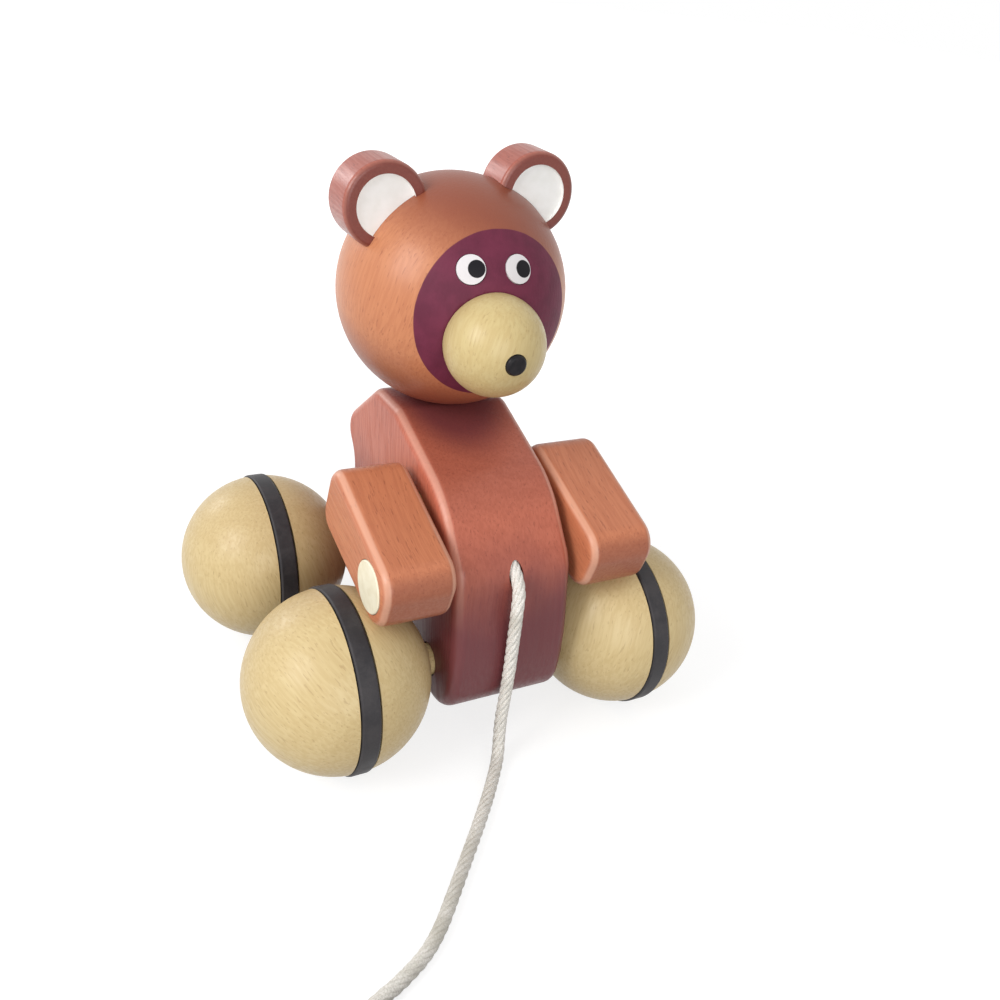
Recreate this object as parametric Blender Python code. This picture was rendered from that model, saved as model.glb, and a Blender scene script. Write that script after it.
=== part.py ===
"""Wooden rolling bear: a pull-along toy on four ball wheels with rubber bands.

Every piece of the toy is an object of its own. Lengths are in metres. The bear faces -Y, its left
hand is at +X and +Z is up. It stands on the floor z = 0, with the origin midway between its wheels.
"""

import math

import bmesh
import bpy
from mathutils import Matrix, Vector

MM = 0.001

# Gaps between neighbouring pieces
GLUE_GAP = 0.3 * MM
TURN_GAP = 0.4 * MM

# Ball wheels, rubber bands and axles
BALL_RADIUS = 22.5 * MM
WHEELBASE = 58 * MM
WHEEL_GAP = 1.3 * MM
BAND_WIDTH = 4.6 * MM
BAND_THICKNESS = 2 * MM
BAND_PROUD = 0.3 * MM
BAND_EDGE = 0.5 * MM
AXLE_RADIUS = 4 * MM
AXLE_SEAT = 20 * MM
DOWEL_CHAMFER = 0.6 * MM

# Body slab: its side profile is measured from the axle line, as y, height and corner radius
BODY_THICKNESS = 31.4 * MM
BODY_EDGE = 2.8 * MM
BODY_TOP = 54.7 * MM
BODY_TOP_FRONT = 1 * MM
BODY_TOP_REAR = 15 * MM
BODY_UNDER = 10 * MM
CHEST = (-26.5 * MM, 45 * MM, 25 * MM)
BREAST = (-39.4 * MM, 29.7 * MM, 10 * MM)
BELLY = (-43 * MM, 7.2 * MM, 45 * MM)
TOE = (-41.2 * MM, 9 * MM)
HEEL = (38.5 * MM, 9 * MM)
RUMP = (40.3 * MM, 9.2 * MM, 14 * MM)
WAIST = (24 * MM, 25.2 * MM, 9 * MM)
HUMP = (35 * MM, 38 * MM, 6.5 * MM)
TOP_CORNER = 6 * MM

# Arms, their dowel and the plugs in their paws
ARM_GAP = 1.9 * MM
ARM_THICKNESS = 18.1 * MM
ARM_EDGE = 2.5 * MM
ARM_REACH = 21 * MM
ARM_REST_GAP = 0.6 * MM
SHOULDER_Y = -15.5 * MM
SHOULDER_HEIGHT = 36.2 * MM
SHOULDER_BACK = 9.8 * MM
SHOULDER_HALF = 9.6 * MM
SHOULDER_CORNER = 5.5 * MM
PAW_RADIUS = 8.4 * MM
PAW_CORNER = 6.5 * MM
ARM_DOWEL_RADIUS = 4 * MM
ARM_DOWEL_SEAT = 11 * MM
PLUG_RADIUS = 6.2 * MM
PLUG_DEPTH = 3 * MM
PLUG_PROUD = 0.3 * MM

# Head ball and neck
HEAD_RADIUS = 28 * MM
NECK_FLAT_RADIUS = 7 * MM
NECK_DOWEL_RADIUS = 4 * MM
NECK_DOWEL_IN_BODY = 14 * MM
NECK_DOWEL_IN_HEAD = 16 * MM
MASK_YAW, MASK_PITCH, MASK_HALF_ANGLE = math.radians(-3.9), math.radians(5.9), math.radians(40)

# Muzzle, nose, eyes and ears
MUZZLE_RADIUS = 11.7 * MM
MUZZLE_BACK = 3.3 * MM
MUZZLE_YAW, MUZZLE_PITCH = math.radians(-5.1), math.radians(-6.4)
NOSE_YAW, NOSE_PITCH = math.radians(-3.5), math.radians(-0.9)
NOSE_RADIUS = 2.4 * MM
NOSE_DEPTH = 3 * MM
NOSE_PROUD = 0.7 * MM
NOSE_TIP_RADIUS = 1.7 * MM
EYE_RADIUS = 3.3 * MM
EYE_DEPTH = 3 * MM
EYE_PROUD = 0.3 * MM
EYE_SPREAD, EYE_YAW, EYE_PITCH = math.radians(13.2), math.radians(-4.8), math.radians(26.9)
PUPIL_RADIUS = 2 * MM
PUPIL_SIDEWAYS = 1 * MM
EAR_RADIUS = 10.1 * MM
EAR_THICKNESS = 11 * MM
EAR_EDGE = 1 * MM
EAR_HOLLOW_RADIUS = 7.2 * MM
EAR_HOLLOW_DEPTH = 0.8 * MM
EAR_STAND_OFF = 1.9 * MM
EAR_ANGLE = math.radians(50)
EAR_TILT = math.radians(3.5)
EAR_PIN_RADIUS = 2.5 * MM
EAR_PIN_IN_HEAD = 8 * MM
EAR_PIN_IN_EAR = 5 * MM

# Pull cord, its coil, its bead and its knot
CORD_RADIUS = 1.6 * MM
CORD_HEIGHT = 1.65 * MM
CORD_HOLE_GAP = 0.3 * MM
CORD_HOLE_DEPTH = 12 * MM
COIL_CENTRE = (-60 * MM, -128 * MM)
COIL_MIDDLE_RADIUS = 19.2 * MM
COIL_PITCH = 3.7 * MM
COIL_LAYER = 3.7 * MM
COIL_LAYER_TURNS = 2
COIL_POINTS = 24
COIL_CLIMB = 0.5
BEAD_RADIUS = 9 * MM
BEAD_BORE_GAP = 0.4 * MM
BEAD_BACK = 2.5 * MM
TAIL_BEND = 7 * MM
TAIL_POINTS = 8
KNOT_RADIUS = 2.8 * MM
KNOT_ROUNDING = 1.2 * MM
KNOT_LENGTH = 5 * MM
KNOT_TAIL = 4 * MM
# Where the cord runs, in millimetres: out of its hole, down the belly and over the floor to the coil
CORD_ROUTE = (
    (0, -30.3, 57.4),
    (0, -34.9, 54.1),
    (0, -39.5, 50.8),
    (-0.6, -42.5, 48.4),
    (-1.4, -44.1, 45.2),
    (-1.7, -44.7, 41),
    (-1.7, -44.8, 35.5),
    (-1.6, -44.8, 28),
    (-1.5, -44.5, 20),
    (-1.6, -44.3, 13.5),
    (-1.7, -44.6, 8.6),
    (-2.1, -45.7, 4.7),
    (-3.2, -47.7, 2.35),
    (-5.4, -50.8, 1.65),
    (-10.8, -57.7, 1.65),
    (-17.3, -65.3, 1.65),
    (-24.0, -72.8, 1.65),
    (-31.0, -80.6, 1.65),
    (-37.2, -87.3, 1.65),
    (-42.8, -92.0, 1.65),
    (-49.5, -95.6, 1.65),
    (-57.5, -98.8, 1.65),
    (-65.8, -102.5, 1.65),
    (-73.6, -107.8, 1.65),
    (-79.6, -114.8, 1.65),
)

# Counts of the flats that stand for round surfaces
BALL_STEPS = 32
HEAD_STEPS = 36
SMALL_STEPS = 24
ARC_STEP = math.radians(15)
CORNER_STEP = math.radians(18)
SHARP_ANGLE = math.radians(32)

# Places that follow from the sizes above
AXLE_Z = BALL_RADIUS + BAND_PROUD
BODY_HALF = BODY_THICKNESS / 2
WHEEL_X = BODY_HALF + WHEEL_GAP + BALL_RADIUS
ARM_INNER = BODY_HALF + ARM_GAP
ARM_OUTER = ARM_INNER + ARM_THICKNESS
SHOULDER = Vector((0, SHOULDER_Y, AXLE_Z + SHOULDER_HEIGHT))
HEAD_FLAT_DROP = math.sqrt(HEAD_RADIUS**2 - NECK_FLAT_RADIUS**2)
HEAD_Y = (BODY_TOP_FRONT + BODY_TOP_REAR) / 2
HEAD = Vector((0, HEAD_Y, AXLE_Z + BODY_TOP + GLUE_GAP + HEAD_FLAT_DROP))
EAR_REACH = HEAD_RADIUS + EAR_STAND_OFF
COIL_OUTER_RADIUS = COIL_MIDDLE_RADIUS + COIL_PITCH * COIL_LAYER_TURNS / 2


def clear_scene():
    for thing in list(bpy.data.objects):
        bpy.data.objects.remove(thing, do_unlink=True)


def finish(name, colour, roughness, coat=0.0):
    """A plain surface finish: base colour, roughness and a clear lacquer over it."""
    made = bpy.data.materials.new(name)
    made.use_nodes = True
    shader = made.node_tree.nodes["Principled BSDF"]
    shader.inputs["Base Color"].default_value = (*colour, 1)
    shader.inputs["Roughness"].default_value = roughness
    shader.inputs["Metallic"].default_value = 0
    shader.inputs["Coat Weight"].default_value = coat
    return made


def add_object(name, bm, finishes, parent=None, place=None):
    """Turns a bmesh into an object, placed under its parent by the matrix given."""
    mesh = bpy.data.meshes.new(name)
    bmesh.ops.recalc_face_normals(bm, faces=bm.faces[:])
    bm.to_mesh(mesh)
    bm.free()
    for one in finishes:
        mesh.materials.append(one)
    mesh.shade_smooth()
    mesh.set_sharp_from_angle(angle=SHARP_ANGLE)
    made = bpy.data.objects.new(name, mesh)
    bpy.context.scene.collection.objects.link(made)
    made.parent = parent
    if place is not None:
        made.matrix_local = place
    return made


def joint_line(name, place):
    """An empty on a joint's axis, which carries the pieces that move about it."""
    made = bpy.data.objects.new(name, None)
    made.location = place
    bpy.context.scene.collection.objects.link(made)
    return made


def aimed(origin, direction, sideways=Vector((1, 0, 0))):
    """A placement at origin whose Z points along direction and whose X stays close to sideways."""
    z = Vector(direction).normalized()
    x = (Vector(sideways) - z * z.dot(sideways)).normalized()
    y = z.cross(x)
    turn = Matrix((x, y, z)).transposed().to_4x4()
    return Matrix.Translation(origin) @ turn


def facing(yaw, pitch):
    """The direction that looks forward, turned to the bear's left by yaw and up by pitch."""
    return Vector((math.sin(yaw) * math.cos(pitch), -math.cos(yaw) * math.cos(pitch), math.sin(pitch)))


def arc(radius, start, end, step=ARC_STEP):
    """Points (distance from the axis, height) on a ball's outline, by angle from its top pole."""
    count = max(1, math.ceil(abs(end - start) / step - 0.01))
    angles = [start + (end - start) * i / count for i in range(count + 1)]
    return [(radius * math.sin(a), radius * math.cos(a)) for a in angles]


def lathe(profile, steps):
    """A bmesh turned about Z from (radius, height) points that run from axis to axis, or from a ring."""
    bm = bmesh.new()
    corners = [bm.verts.new((r, 0, h)) for r, h in profile]
    edges = [bm.edges.new(pair) for pair in zip(corners[:-1], corners[1:])]
    if profile[0][0] > 0:
        edges.append(bm.edges.new((corners[-1], corners[0])))
    bmesh.ops.spin(
        bm,
        geom=corners + edges,
        cent=(0, 0, 0),
        axis=(0, 0, 1),
        angle=2 * math.pi,
        steps=steps,
        use_merge=True,
    )
    bmesh.ops.remove_doubles(bm, verts=bm.verts[:], dist=0.001 * MM)
    return bm


def rounded(corners):
    """The outline through (y, z, radius) corners, each turned into an arc of its own radius."""
    points = []
    for i, (y, z, radius) in enumerate(corners):
        corner = Vector((y, z))
        before = (Vector(corners[i - 1][:2]) - corner).normalized()
        after = (Vector(corners[(i + 1) % len(corners)][:2]) - corner).normalized()
        half = before.angle(after) / 2
        centre = corner + (before + after).normalized() * radius / math.sin(half)
        first = corner + before * radius / math.tan(half) - centre
        last = corner + after * radius / math.tan(half) - centre
        start = math.atan2(first.y, first.x)
        turn = (math.atan2(last.y, last.x) - start + math.pi) % (2 * math.pi) - math.pi
        count = max(1, math.ceil(abs(turn) / CORNER_STEP))
        angles = [start + turn * k / count for k in range(count + 1)]
        points += [centre + Vector((math.cos(a), math.sin(a))) * radius for a in angles]
    return points


def slab(outline, inner, outer, edge):
    """A bmesh of a board cut to an outline in Y and Z, from x = inner to outer, with rounded edges."""
    bm = bmesh.new()
    face = bm.faces.new([bm.verts.new((inner, p.x, p.y)) for p in outline])
    pushed = bmesh.ops.extrude_face_region(bm, geom=[face])["geom"]
    moved = [v for v in pushed if isinstance(v, bmesh.types.BMVert)]
    bmesh.ops.translate(bm, verts=moved, vec=(outer - inner, 0, 0))
    rims = [e for e in bm.edges if abs(e.verts[0].co.x - e.verts[1].co.x) < abs(outer - inner) / 2]
    bmesh.ops.bevel(bm, geom=rims, offset=edge, segments=3, profile=0.5, affect="EDGES")
    return bm


def cut(piece, bm, place):
    """Cuts a shape out of a piece with a Boolean; the cutter is only a guide."""
    cutter = add_object(f"{piece.name}_cutter_{len(piece.modifiers) + 1}", bm, [], piece.parent, place)
    cutter.display_type = "WIRE"
    cutter.hide_render = True
    step = piece.modifiers.new("cut", "BOOLEAN")
    step.operation = "DIFFERENCE"
    step.solver = "EXACT"
    step.object = cutter


def rod(radius, low, high, chamfer=0.0):
    """A bmesh of a round rod along Z, with chamfered ends."""
    profile = [(0, low), (radius - chamfer, low)]
    if chamfer > 0:
        profile += [(radius, low + chamfer), (radius, high - chamfer)]
    profile += [(radius - chamfer, high), (0, high)]
    return lathe(profile, SMALL_STEPS)


def make_body(wood):
    """The slab that everything is pegged to, with its bores for axles, arms, neck and cord."""
    corners = [
        (BODY_TOP_REAR, BODY_TOP, TOP_CORNER),
        (BODY_TOP_FRONT, BODY_TOP, TOP_CORNER),
        CHEST,
        BREAST,
        BELLY,
        (TOE[0], -BODY_UNDER, TOE[1]),
        (HEEL[0], -BODY_UNDER, HEEL[1]),
        RUMP,
        WAIST,
        HUMP,
    ]
    outline = [Vector((p.x, p.y + AXLE_Z)) for p in rounded(corners)]
    body = add_object("body", slab(outline, -BODY_HALF, BODY_HALF, BODY_EDGE), [wood])
    through = 2 * BODY_HALF
    crossways = [
        (Vector((0, -WHEELBASE / 2, AXLE_Z)), AXLE_RADIUS),
        (Vector((0, WHEELBASE / 2, AXLE_Z)), AXLE_RADIUS),
        (SHOULDER, ARM_DOWEL_RADIUS),
    ]
    for centre, radius in crossways:
        cut(body, rod(radius + TURN_GAP, -through, through), aimed(centre, (1, 0, 0), (0, 1, 0)))
    top = Vector((0, HEAD_Y, AXLE_Z + BODY_TOP))
    socket = rod(NECK_DOWEL_RADIUS + TURN_GAP, -NECK_DOWEL_IN_BODY - GLUE_GAP, TOP_CORNER)
    cut(body, socket, aimed(top, (0, 0, 1)))
    mouth, inner = Vector(CORD_ROUTE[2]) * MM, Vector(CORD_ROUTE[0]) * MM
    hole = rod(CORD_RADIUS + CORD_HOLE_GAP, -CORD_HOLE_DEPTH - GLUE_GAP, CORD_HOLE_DEPTH / 2)
    cut(body, hole, aimed(mouth, mouth - inner))


def make_wheel(name, side, axle, wood, rubber):
    """A ball with a blind axle bore on its inner side and a groove that holds the rubber band."""
    bore = AXLE_RADIUS + GLUE_GAP
    groove_half = BAND_WIDTH / 2 + GLUE_GAP
    groove_floor = BALL_RADIUS + BAND_PROUD - BAND_THICKNESS - GLUE_GAP
    bore_end = -BALL_RADIUS + AXLE_SEAT + GLUE_GAP
    lip = math.acos(groove_half / BALL_RADIUS)
    profile = arc(BALL_RADIUS, 0, lip)
    profile += [(groove_floor, groove_half), (groove_floor, -groove_half)]
    profile += arc(BALL_RADIUS, math.pi - lip, math.pi - math.asin(bore / BALL_RADIUS))
    profile += [(bore, bore_end), (0, bore_end)]
    place = aimed((side * WHEEL_X, 0, 0), (side, 0, 0), (0, 0, 1))
    add_object(f"{name}_wheel", lathe(profile, BALL_STEPS), [wood], axle, place)
    outer, half = BALL_RADIUS + BAND_PROUD, BAND_WIDTH / 2
    inner = outer - BAND_THICKNESS
    ring = [(inner, -half), (outer - BAND_EDGE, -half), (outer, BAND_EDGE - half)]
    ring += [(outer, half - BAND_EDGE), (outer - BAND_EDGE, half), (inner, half)]
    add_object(f"{name}_band", lathe(ring, BALL_STEPS), [rubber], axle, place)


def make_wheelset(end, y, wood, dowel, rubber):
    """Two balls on one dowel, which turns in the body."""
    axle = joint_line(f"{end}_axle_line", (0, y, AXLE_Z))
    reach = WHEEL_X - BALL_RADIUS + AXLE_SEAT
    place = aimed((0, 0, 0), (1, 0, 0), (0, 1, 0))
    add_object(f"{end}_axle", rod(AXLE_RADIUS, -reach, reach, DOWEL_CHAMFER), [dowel], axle, place)
    for word, side in (("left", 1), ("right", -1)):
        make_wheel(f"{end}_{word}", side, axle, wood, rubber)


def arm_direction():
    """Which way the arms point when their paws rest just over the front balls."""
    ball = Vector((-WHEELBASE / 2 - SHOULDER.y, AXLE_Z - SHOULDER.z))
    inset = WHEEL_X - (ARM_OUTER - ARM_EDGE)
    section = math.sqrt(BALL_RADIUS**2 - inset**2)
    apart = PAW_RADIUS + section + ARM_REST_GAP
    cosine = (ARM_REACH**2 + ball.length**2 - apart**2) / (2 * ARM_REACH * ball.length)
    angle = math.atan2(ball.y, ball.x) - math.acos(cosine)
    return Vector((math.cos(angle), math.sin(angle)))


def make_arms(wood, dowel, cream):
    """Both arms are glued on one dowel, so they swing together."""
    pivot = joint_line("arm_line", SHOULDER)
    reach = ARM_INNER + ARM_DOWEL_SEAT
    crossways = aimed((0, 0, 0), (1, 0, 0), (0, 1, 0))
    pin = rod(ARM_DOWEL_RADIUS, -reach, reach, DOWEL_CHAMFER)
    add_object("arm_dowel", pin, [dowel], pivot, crossways)
    along = arm_direction()
    up = Vector((along.y, -along.x))
    paw = along * ARM_REACH
    rear, tip = along * -SHOULDER_BACK, paw + along * PAW_RADIUS
    corners = [
        (*(rear + up * SHOULDER_HALF), SHOULDER_CORNER),
        (*(rear - up * SHOULDER_HALF), SHOULDER_CORNER),
        (*(tip - up * PAW_RADIUS), PAW_CORNER),
        (*(tip + up * PAW_RADIUS), PAW_CORNER),
    ]
    outline = rounded(corners)
    for word, side in (("left", 1), ("right", -1)):
        shape = slab(outline, side * ARM_INNER, side * ARM_OUTER, ARM_EDGE)
        arm = add_object(f"{word}_arm", shape, [wood], pivot)
        bore = rod(ARM_DOWEL_RADIUS + GLUE_GAP, -ARM_GAP, ARM_DOWEL_SEAT + GLUE_GAP)
        cut(arm, bore, aimed((side * ARM_INNER, 0, 0), (side, 0, 0), (0, 1, 0)))
        face = aimed((side * ARM_OUTER, paw.x, paw.y), (side, 0, 0), (0, 1, 0))
        cut(arm, rod(PLUG_RADIUS + GLUE_GAP, -PLUG_DEPTH - GLUE_GAP, PLUG_DEPTH), face)
        plug = rod(PLUG_RADIUS, -PLUG_DEPTH, PLUG_PROUD, PLUG_PROUD)
        add_object(f"{word}_paw_plug", plug, [cream], pivot, face)


def make_head(wood, mask, dowel):
    """The ball head on its neck dowel, with flats for neck and muzzle and seats for eyes and ears."""
    neck = joint_line("neck_line", HEAD)
    profile = arc(HEAD_RADIUS, 0, MASK_HALF_ANGLE, math.radians(10))
    profile += arc(HEAD_RADIUS, MASK_HALF_ANGLE, math.pi, math.radians(10))[1:]
    ball = lathe(profile, HEAD_STEPS)
    for face in ball.faces:
        middle = face.calc_center_median()
        face.material_index = int(middle.angle(Vector((0, 0, 1))) < MASK_HALF_ANGLE)
    place = aimed((0, 0, 0), facing(MASK_YAW, MASK_PITCH))
    head = add_object("head", ball, [wood, mask], neck, place)
    big = 2 * HEAD_RADIUS
    cut(head, rod(HEAD_RADIUS, HEAD_FLAT_DROP, big), aimed((0, 0, 0), (0, 0, -1)))
    cut(head, rod(HEAD_RADIUS, muzzle_seat(), big), aimed((0, 0, 0), facing(MUZZLE_YAW, MUZZLE_PITCH)))
    bore = rod(NECK_DOWEL_RADIUS + GLUE_GAP, HEAD_FLAT_DROP - NECK_DOWEL_IN_HEAD - GLUE_GAP, big)
    cut(head, bore, aimed((0, 0, 0), (0, 0, -1)))
    for side in (1, -1):
        pocket = rod(EYE_RADIUS + GLUE_GAP, HEAD_RADIUS - EYE_DEPTH - GLUE_GAP, big)
        cut(head, pocket, eye_place(side))
        pin = rod(EAR_PIN_RADIUS + GLUE_GAP, HEAD_RADIUS - EAR_PIN_IN_HEAD - GLUE_GAP, big)
        cut(head, pin, ear_pin_place(side))
    top = -HEAD_FLAT_DROP
    rod_low = top - GLUE_GAP - NECK_DOWEL_IN_BODY
    neck_rod = rod(NECK_DOWEL_RADIUS, rod_low, top + NECK_DOWEL_IN_HEAD, DOWEL_CHAMFER)
    add_object("neck_dowel", neck_rod, [dowel], neck)
    return neck


def muzzle_seat():
    """How far from the head's centre the flat lies that the muzzle is glued to."""
    return math.sqrt(HEAD_RADIUS**2 - MUZZLE_RADIUS**2 + MUZZLE_BACK**2)


def eye_place(side):
    return aimed((0, 0, 0), facing(EYE_YAW + side * EYE_SPREAD, EYE_PITCH))


def ear_way(side):
    """The direction from the head's centre to an ear: the bear's left ear sits a little higher."""
    angle = EAR_ANGLE + side * EAR_TILT
    return Vector((side * math.cos(angle), 0, math.sin(angle)))


def ear_pin_place(side):
    return aimed((0, 0, 0), ear_way(side), (0, 1, 0))


def make_face(neck, wood, black, white):
    """The muzzle, a ball with a flat on its back, with its nose peg, and the two eye buttons."""
    ahead = facing(MUZZLE_YAW, MUZZLE_PITCH)
    centre = ahead * (muzzle_seat() + GLUE_GAP + MUZZLE_BACK)
    base = math.acos(-MUZZLE_BACK / MUZZLE_RADIUS)
    ball = lathe(arc(MUZZLE_RADIUS, 0, base) + [(0, -MUZZLE_BACK)], HEAD_STEPS)
    muzzle = add_object("muzzle", ball, [wood], neck, aimed(centre, ahead))
    nose_place = aimed(centre, facing(NOSE_YAW, NOSE_PITCH))
    pocket = rod(NOSE_RADIUS + GLUE_GAP, MUZZLE_RADIUS - NOSE_DEPTH - GLUE_GAP, 2 * MUZZLE_RADIUS)
    cut(muzzle, pocket, nose_place)
    rim = math.sqrt(MUZZLE_RADIUS**2 - NOSE_RADIUS**2)
    low = MUZZLE_RADIUS - NOSE_DEPTH
    peg = [(0, low), (NOSE_RADIUS, low), (NOSE_RADIUS, rim)]
    peg += [(NOSE_TIP_RADIUS, rim + NOSE_PROUD), (0, MUZZLE_RADIUS + NOSE_PROUD)]
    add_object("nose", lathe(peg, SMALL_STEPS), [black], neck, nose_place)
    for word, side in (("left", 1), ("right", -1)):
        add_object(f"{word}_eye", eye_button(), [white, black], neck, eye_place(side))


def eye_button():
    """A white plug whose front follows the head's ball, with its pupil off to one side."""
    front = HEAD_RADIUS + EYE_PROUD
    low = HEAD_RADIUS - EYE_DEPTH
    profile = [(0, low), (EYE_RADIUS, low)]
    profile += [(r, math.sqrt(front**2 - r**2)) for r in (EYE_RADIUS, PUPIL_RADIUS, 0)]
    bm = lathe(profile, SMALL_STEPS)
    pupil = [v for v in bm.verts if v.co.z > low + MM / 10 and v.co.xy.length < PUPIL_RADIUS + MM / 10]
    for v in pupil:
        v.co.x += PUPIL_SIDEWAYS
        v.co.z = math.sqrt(front**2 - v.co.xy.length_squared)
    for face in bm.faces:
        face.material_index = int(all(v in pupil for v in face.verts))
    return bm


def make_ears(neck, wood, white, dowel):
    """Round discs with a shallow white hollow, scooped to the head and held by a pin each."""
    half = EAR_THICKNESS / 2
    floor = half - EAR_HOLLOW_DEPTH
    profile = [(0, floor), (EAR_HOLLOW_RADIUS, floor), (EAR_HOLLOW_RADIUS, half)]
    for middle, start in ((half - EAR_EDGE, 0), (EAR_EDGE - half, math.pi / 2)):
        edge = arc(EAR_EDGE, start, start + math.pi / 2, math.pi / 4)
        profile += [(EAR_RADIUS - EAR_EDGE + r, middle + h) for r, h in edge]
    profile.append((0, -half))
    for word, side in (("left", 1), ("right", -1)):
        disc = lathe(profile, HEAD_STEPS)
        for face in disc.faces:
            spot = face.calc_center_median()
            face.material_index = int(spot.z > 0 and spot.xy.length < EAR_HOLLOW_RADIUS - MM / 10)
        ear = add_object(f"{word}_ear", disc, [wood, white], neck, aimed(ear_way(side) * EAR_REACH, (0, -1, 0)))
        scoop = lathe(arc(HEAD_RADIUS + GLUE_GAP, 0, math.pi, math.radians(7.5)), 2 * SMALL_STEPS)
        cut(ear, scoop, Matrix.Identity(4))
        place = ear_pin_place(side)
        inner, outer = HEAD_RADIUS - EAR_PIN_IN_HEAD, HEAD_RADIUS + EAR_PIN_IN_EAR
        cut(ear, rod(EAR_PIN_RADIUS + GLUE_GAP, inner, outer + GLUE_GAP), place)
        pin = rod(EAR_PIN_RADIUS, inner, outer, DOWEL_CHAMFER)
        add_object(f"{word}_ear_pin", pin, [dowel], neck, place)


def smooth_curve(points, spacing):
    """Points at an even spacing along one smooth curve through the points given."""
    padded = [points[0] * 2 - points[1], *points, points[-1] * 2 - points[-2]]
    fine = []
    for a, b, c, d in zip(padded, padded[1:], padded[2:], padded[3:]):
        for k in range(16):
            t = k / 16
            bend, twist = 2 * a - 5 * b + 4 * c - d, 3 * b - a - 3 * c + d
            fine.append((2 * b + (c - a) * t + bend * t**2 + twist * t**3) / 2)
    fine.append(points[-1])
    steps = [(q - p).length for p, q in zip(fine, fine[1:])]
    count = round(sum(steps) / spacing)
    even, walked, at = [fine[0]], 0.0, 0
    for k in range(1, count):
        target = sum(steps) * k / count
        while walked + steps[at] < target:
            walked += steps[at]
            at += 1
        even.append(fine[at].lerp(fine[at + 1], (target - walked) / steps[at]))
    return [*even, fine[-1]]


def tube(name, points, resolution, cotton):
    """A cord as a curve object with filled ends."""
    curve = bpy.data.curves.new(name, "CURVE")
    curve.dimensions = "3D"
    curve.bevel_depth = CORD_RADIUS
    curve.bevel_resolution = resolution
    curve.use_fill_caps = True
    spline = curve.splines.new("POLY")
    spline.points.add(len(points) - 1)
    for spot, point in zip(spline.points, points):
        spot.co = (*point, 1)
    spline.use_smooth = True
    curve.materials.append(cotton)
    made = bpy.data.objects.new(name, curve)
    bpy.context.scene.collection.objects.link(made)
    return made


def climb(turn):
    """How much of a layer the cord has climbed, over the half turn around turn 0."""
    part = min(1, max(0, turn / COIL_CLIMB + 0.5))
    return part**2 * (3 - 2 * part)


def coil_point(turn):
    """Where the coil's cord is after so many turns: in on the lower layer, out again on the upper."""
    reverse = COIL_LAYER_TURNS
    radius = COIL_OUTER_RADIUS - COIL_PITCH * (turn if turn < reverse else 2 * reverse - turn)
    height = CORD_HEIGHT + COIL_LAYER * (climb(turn - reverse) + climb(turn - 2 * reverse))
    angle = math.pi + 2 * math.pi * turn
    across, along = radius * math.cos(angle), radius * math.sin(angle)
    return Vector((COIL_CENTRE[0] + across, COIL_CENTRE[1] + along, height))


def coil_turns():
    """How many turns the coil has, ending where it has climbed onto its upper layer."""
    return 2 * COIL_LAYER_TURNS + COIL_CLIMB / 2


def coil_start():
    """The way that the cord runs where the coil begins."""
    return (coil_point(0) - coil_point(-0.001)).normalized()


def coil_line():
    """The coil: a straight start, its turns, and its end, which bends in over them to the bead."""
    points = [coil_point(k / COIL_POINTS) for k in range(round(COIL_POINTS * coil_turns()) + 1)]
    first = points[0] - coil_start() * 2 * CORD_RADIUS
    hub = points[-1] + Vector((0, TAIL_BEND, 0))
    for k in range(TAIL_POINTS):
        turned = tail_turn() * (k + 1) / TAIL_POINTS
        points.append(hub + Vector((math.sin(turned), -math.cos(turned), 0)) * TAIL_BEND)
    knot_face = bead_centre() + bead_axis() * (BEAD_RADIUS + GLUE_GAP)
    return [first, *points, knot_face]


def tail_turn():
    """How far the coil's end turns to head for the coil's middle."""
    reach = COIL_CENTRE[1] - coil_point(coil_turns()).y
    return math.pi - math.acos(TAIL_BEND / (reach - TAIL_BEND))


def bead_axis():
    """The way that the cord runs through the bead, level and through the coil's middle."""
    return Vector((math.cos(tail_turn()), math.sin(tail_turn()), 0))


def bead_centre():
    middle = Vector((*COIL_CENTRE, CORD_HEIGHT + 2 * COIL_LAYER))
    return middle - bead_axis() * BEAD_BACK


def least_gap(points):
    """The least distance between the surfaces of two stretches of a cord that aren't neighbours."""
    line, neighbours = fine_steps(points), 8 * CORD_RADIUS
    best = math.inf
    for i, (start, p) in enumerate(line):
        for end, q in line[i + 1 :]:
            if end - start > neighbours:
                best = min(best, (p - q).length)
    return best - 2 * CORD_RADIUS


def fine_steps(points):
    """(distance walked, point) at every millimetre or so along straight runs between points."""
    out, walked = [], 0.0
    for p, q in zip(points, points[1:]):
        count = max(1, round((q - p).length / MM))
        out += [(walked + (q - p).length * k / count, p.lerp(q, k / count)) for k in range(count)]
        walked += (q - p).length
    return out


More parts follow.
